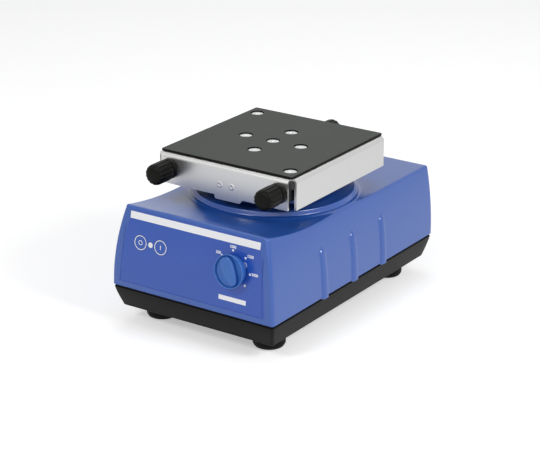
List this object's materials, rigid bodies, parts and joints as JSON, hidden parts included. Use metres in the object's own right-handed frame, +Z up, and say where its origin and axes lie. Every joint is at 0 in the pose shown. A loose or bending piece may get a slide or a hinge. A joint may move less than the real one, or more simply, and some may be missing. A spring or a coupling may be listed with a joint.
{
  "type": "orbital_platform_shaker",
  "caption": "Small laboratory orbital shaker with a blue moulded housing, dark tray base, round collar, sheet-metal platform with rubber mat and fluted side clamp knobs.",
  "frame": {"origin": "Middle of the outer box in X and Y, at table level (the underside of the feet) in Z", "axes": "+X to the right when facing the control panel, -Y out of the control panel towards the user, +Z up"},
  "size_m": [0.161, 0.2562, 0.1386],
  "materials": {
    "housing_blue": "satin",
    "foil_blue": "satin",
    "dial_blue": "satin",
    "tray_black": "satin",
    "black_rubber": "matte",
    "mat_rubber": "matte",
    "knob_black": "satin",
    "switch_black": "satin",
    "sheet_steel": "brushed",
    "screw_steel": "polished",
    "bearing_steel": "polished",
    "dark_steel": "satin",
    "core_steel": "brushed",
    "can_grey": "satin",
    "cast_alloy": "machined",
    "winding_copper": "gloss",
    "pin_brass": "polished",
    "board_green": "gloss",
    "sleeve_dark": "gloss",
    "led_white": "gloss",
    "lens_clear": "gloss"
  },
  "bodies": {
    "base": {"upper_housing": "housing_blue", "collar_ring": "housing_blue", "front_foil": "foil_blue", "housing_seal": "black_rubber", "base_tray": "tray_black", "ballast_plate": "dark_steel", "foot_fl": "black_rubber", "foot_fr": "black_rubber", "foot_rl": "black_rubber", "foot_rr": "black_rubber", "foot_screws": "screw_steel", "case_screws": "screw_steel", "control_board": "board_green", "board_screws": "screw_steel", "potentiometer": "switch_black", "key_switches": "switch_black", "power_led": "led_white", "led_lens": "lens_clear", "power_board": "board_green", "transformer": "core_steel", "capacitors": "sleeve_dark", "mains_inlet": "switch_black", "inlet_pins": "pin_brass", "bridge_plate": "cast_alloy", "bridge_posts": "screw_steel", "bridge_screws": "screw_steel", "motor_can": "can_grey", "motor_stator": "winding_copper", "motor_screws": "screw_steel", "motor_bearings": "bearing_steel", "idler_lower_bearings": "bearing_steel"},
    "rotor": {"motor_rotor": "core_steel", "drive_shaft": "bearing_steel", "eccentric_hub": "screw_steel", "counterweight": "pin_brass", "eccentric_screw": "dark_steel"},
    "idler_a": {"idler_a": "bearing_steel"},
    "idler_b": {"idler_b": "bearing_steel"},
    "idler_c": {"idler_c": "bearing_steel"},
    "table": {"shaker_table": "cast_alloy", "table_neck": "cast_alloy", "bearing_carrier": "cast_alloy", "table_bearings": "bearing_steel", "idler_upper_bearings": "bearing_steel", "splash_guard": "housing_blue", "platform_pan": "sheet_steel", "mat": "mat_rubber", "platform_screws": "screw_steel"},
    "clamp_fl": {"clamp_knob_fl": "knob_black", "clamp_stud_fl": "screw_steel"},
    "clamp_fr": {"clamp_knob_fr": "knob_black", "clamp_stud_fr": "screw_steel"},
    "clamp_rear": {"clamp_knob_rear": "knob_black", "clamp_stud_rear": "screw_steel"},
    "speed_dial": {"speed_knob": "dial_blue", "knob_shaft": "screw_steel"},
    "off_button": {"off_key": "foil_blue"},
    "on_button": {"on_key": "foil_blue"},
    "fuse_holder": {"fuse_drawer": "switch_black"}
  },
  "joints": [
    {"name": "drive_spin", "type": "hinge", "parent": "base", "child": "rotor", "pos_m": [0, -0.00239, 0.066], "axis": [0, 0, 1], "continuous": true},
    {"name": "table_swivel", "type": "hinge", "parent": "rotor", "child": "table", "pos_m": [0, -0.00439, 0.086], "axis": [0, 0, 1], "continuous": true},
    {"name": "idler_a_spin", "type": "hinge", "parent": "base", "child": "idler_a", "pos_m": [0.02858, 0.01411, 0.066], "axis": [0, 0, 1], "continuous": true},
    {"name": "idler_b_spin", "type": "hinge", "parent": "base", "child": "idler_b", "pos_m": [-0.02858, 0.01411, 0.066], "axis": [0, 0, 1], "continuous": true},
    {"name": "idler_c_spin", "type": "hinge", "parent": "base", "child": "idler_c", "pos_m": [0, -0.03539, 0.066], "axis": [0, 0, 1], "continuous": true},
    {"name": "clamp_fl_turn", "type": "hinge", "parent": "table", "child": "clamp_fl", "pos_m": [-0.0525, -0.07519, 0.1244], "axis": [0, -1, 0], "range_deg": [-180, 180]},
    {"name": "clamp_fr_turn", "type": "hinge", "parent": "table", "child": "clamp_fr", "pos_m": [0.0525, -0.07519, 0.1244], "axis": [0, -1, 0], "range_deg": [-180, 180]},
    {"name": "clamp_rear_turn", "type": "hinge", "parent": "table", "child": "clamp_rear", "pos_m": [0, 0.06641, 0.1244], "axis": [0, 1, 0], "range_deg": [-180, 180]},
    {"name": "speed_turn", "type": "hinge", "parent": "base", "child": "speed_dial", "pos_m": [0.0404, -0.11802, 0.07175], "axis": [0, -0.9928, 0.1195], "range_deg": [-172, 118]},
    {"name": "off_press", "type": "slide", "parent": "base", "child": "off_button", "axis": [0, 0.9928, -0.1195], "range_m": [0, 0.0005], "stiffness_N_per_m": 600, "springref_m": -0.0003},
    {"name": "on_press", "type": "slide", "parent": "base", "child": "on_button", "axis": [0, 0.9928, -0.1195], "range_m": [0, 0.0005], "stiffness_N_per_m": 600, "springref_m": -0.0003},
    {"name": "fuse_pull", "type": "slide", "parent": "base", "child": "fuse_holder", "axis": [0, 1, 0], "range_m": [0, 0.015]}
  ],
  "couplings": [
    {"joint": "table_swivel", "follows": "drive_spin", "ratio": -1},
    {"joint": "idler_a_spin", "follows": "drive_spin", "ratio": 1},
    {"joint": "idler_b_spin", "follows": "drive_spin", "ratio": 1},
    {"joint": "idler_c_spin", "follows": "drive_spin", "ratio": 1}
  ]
}
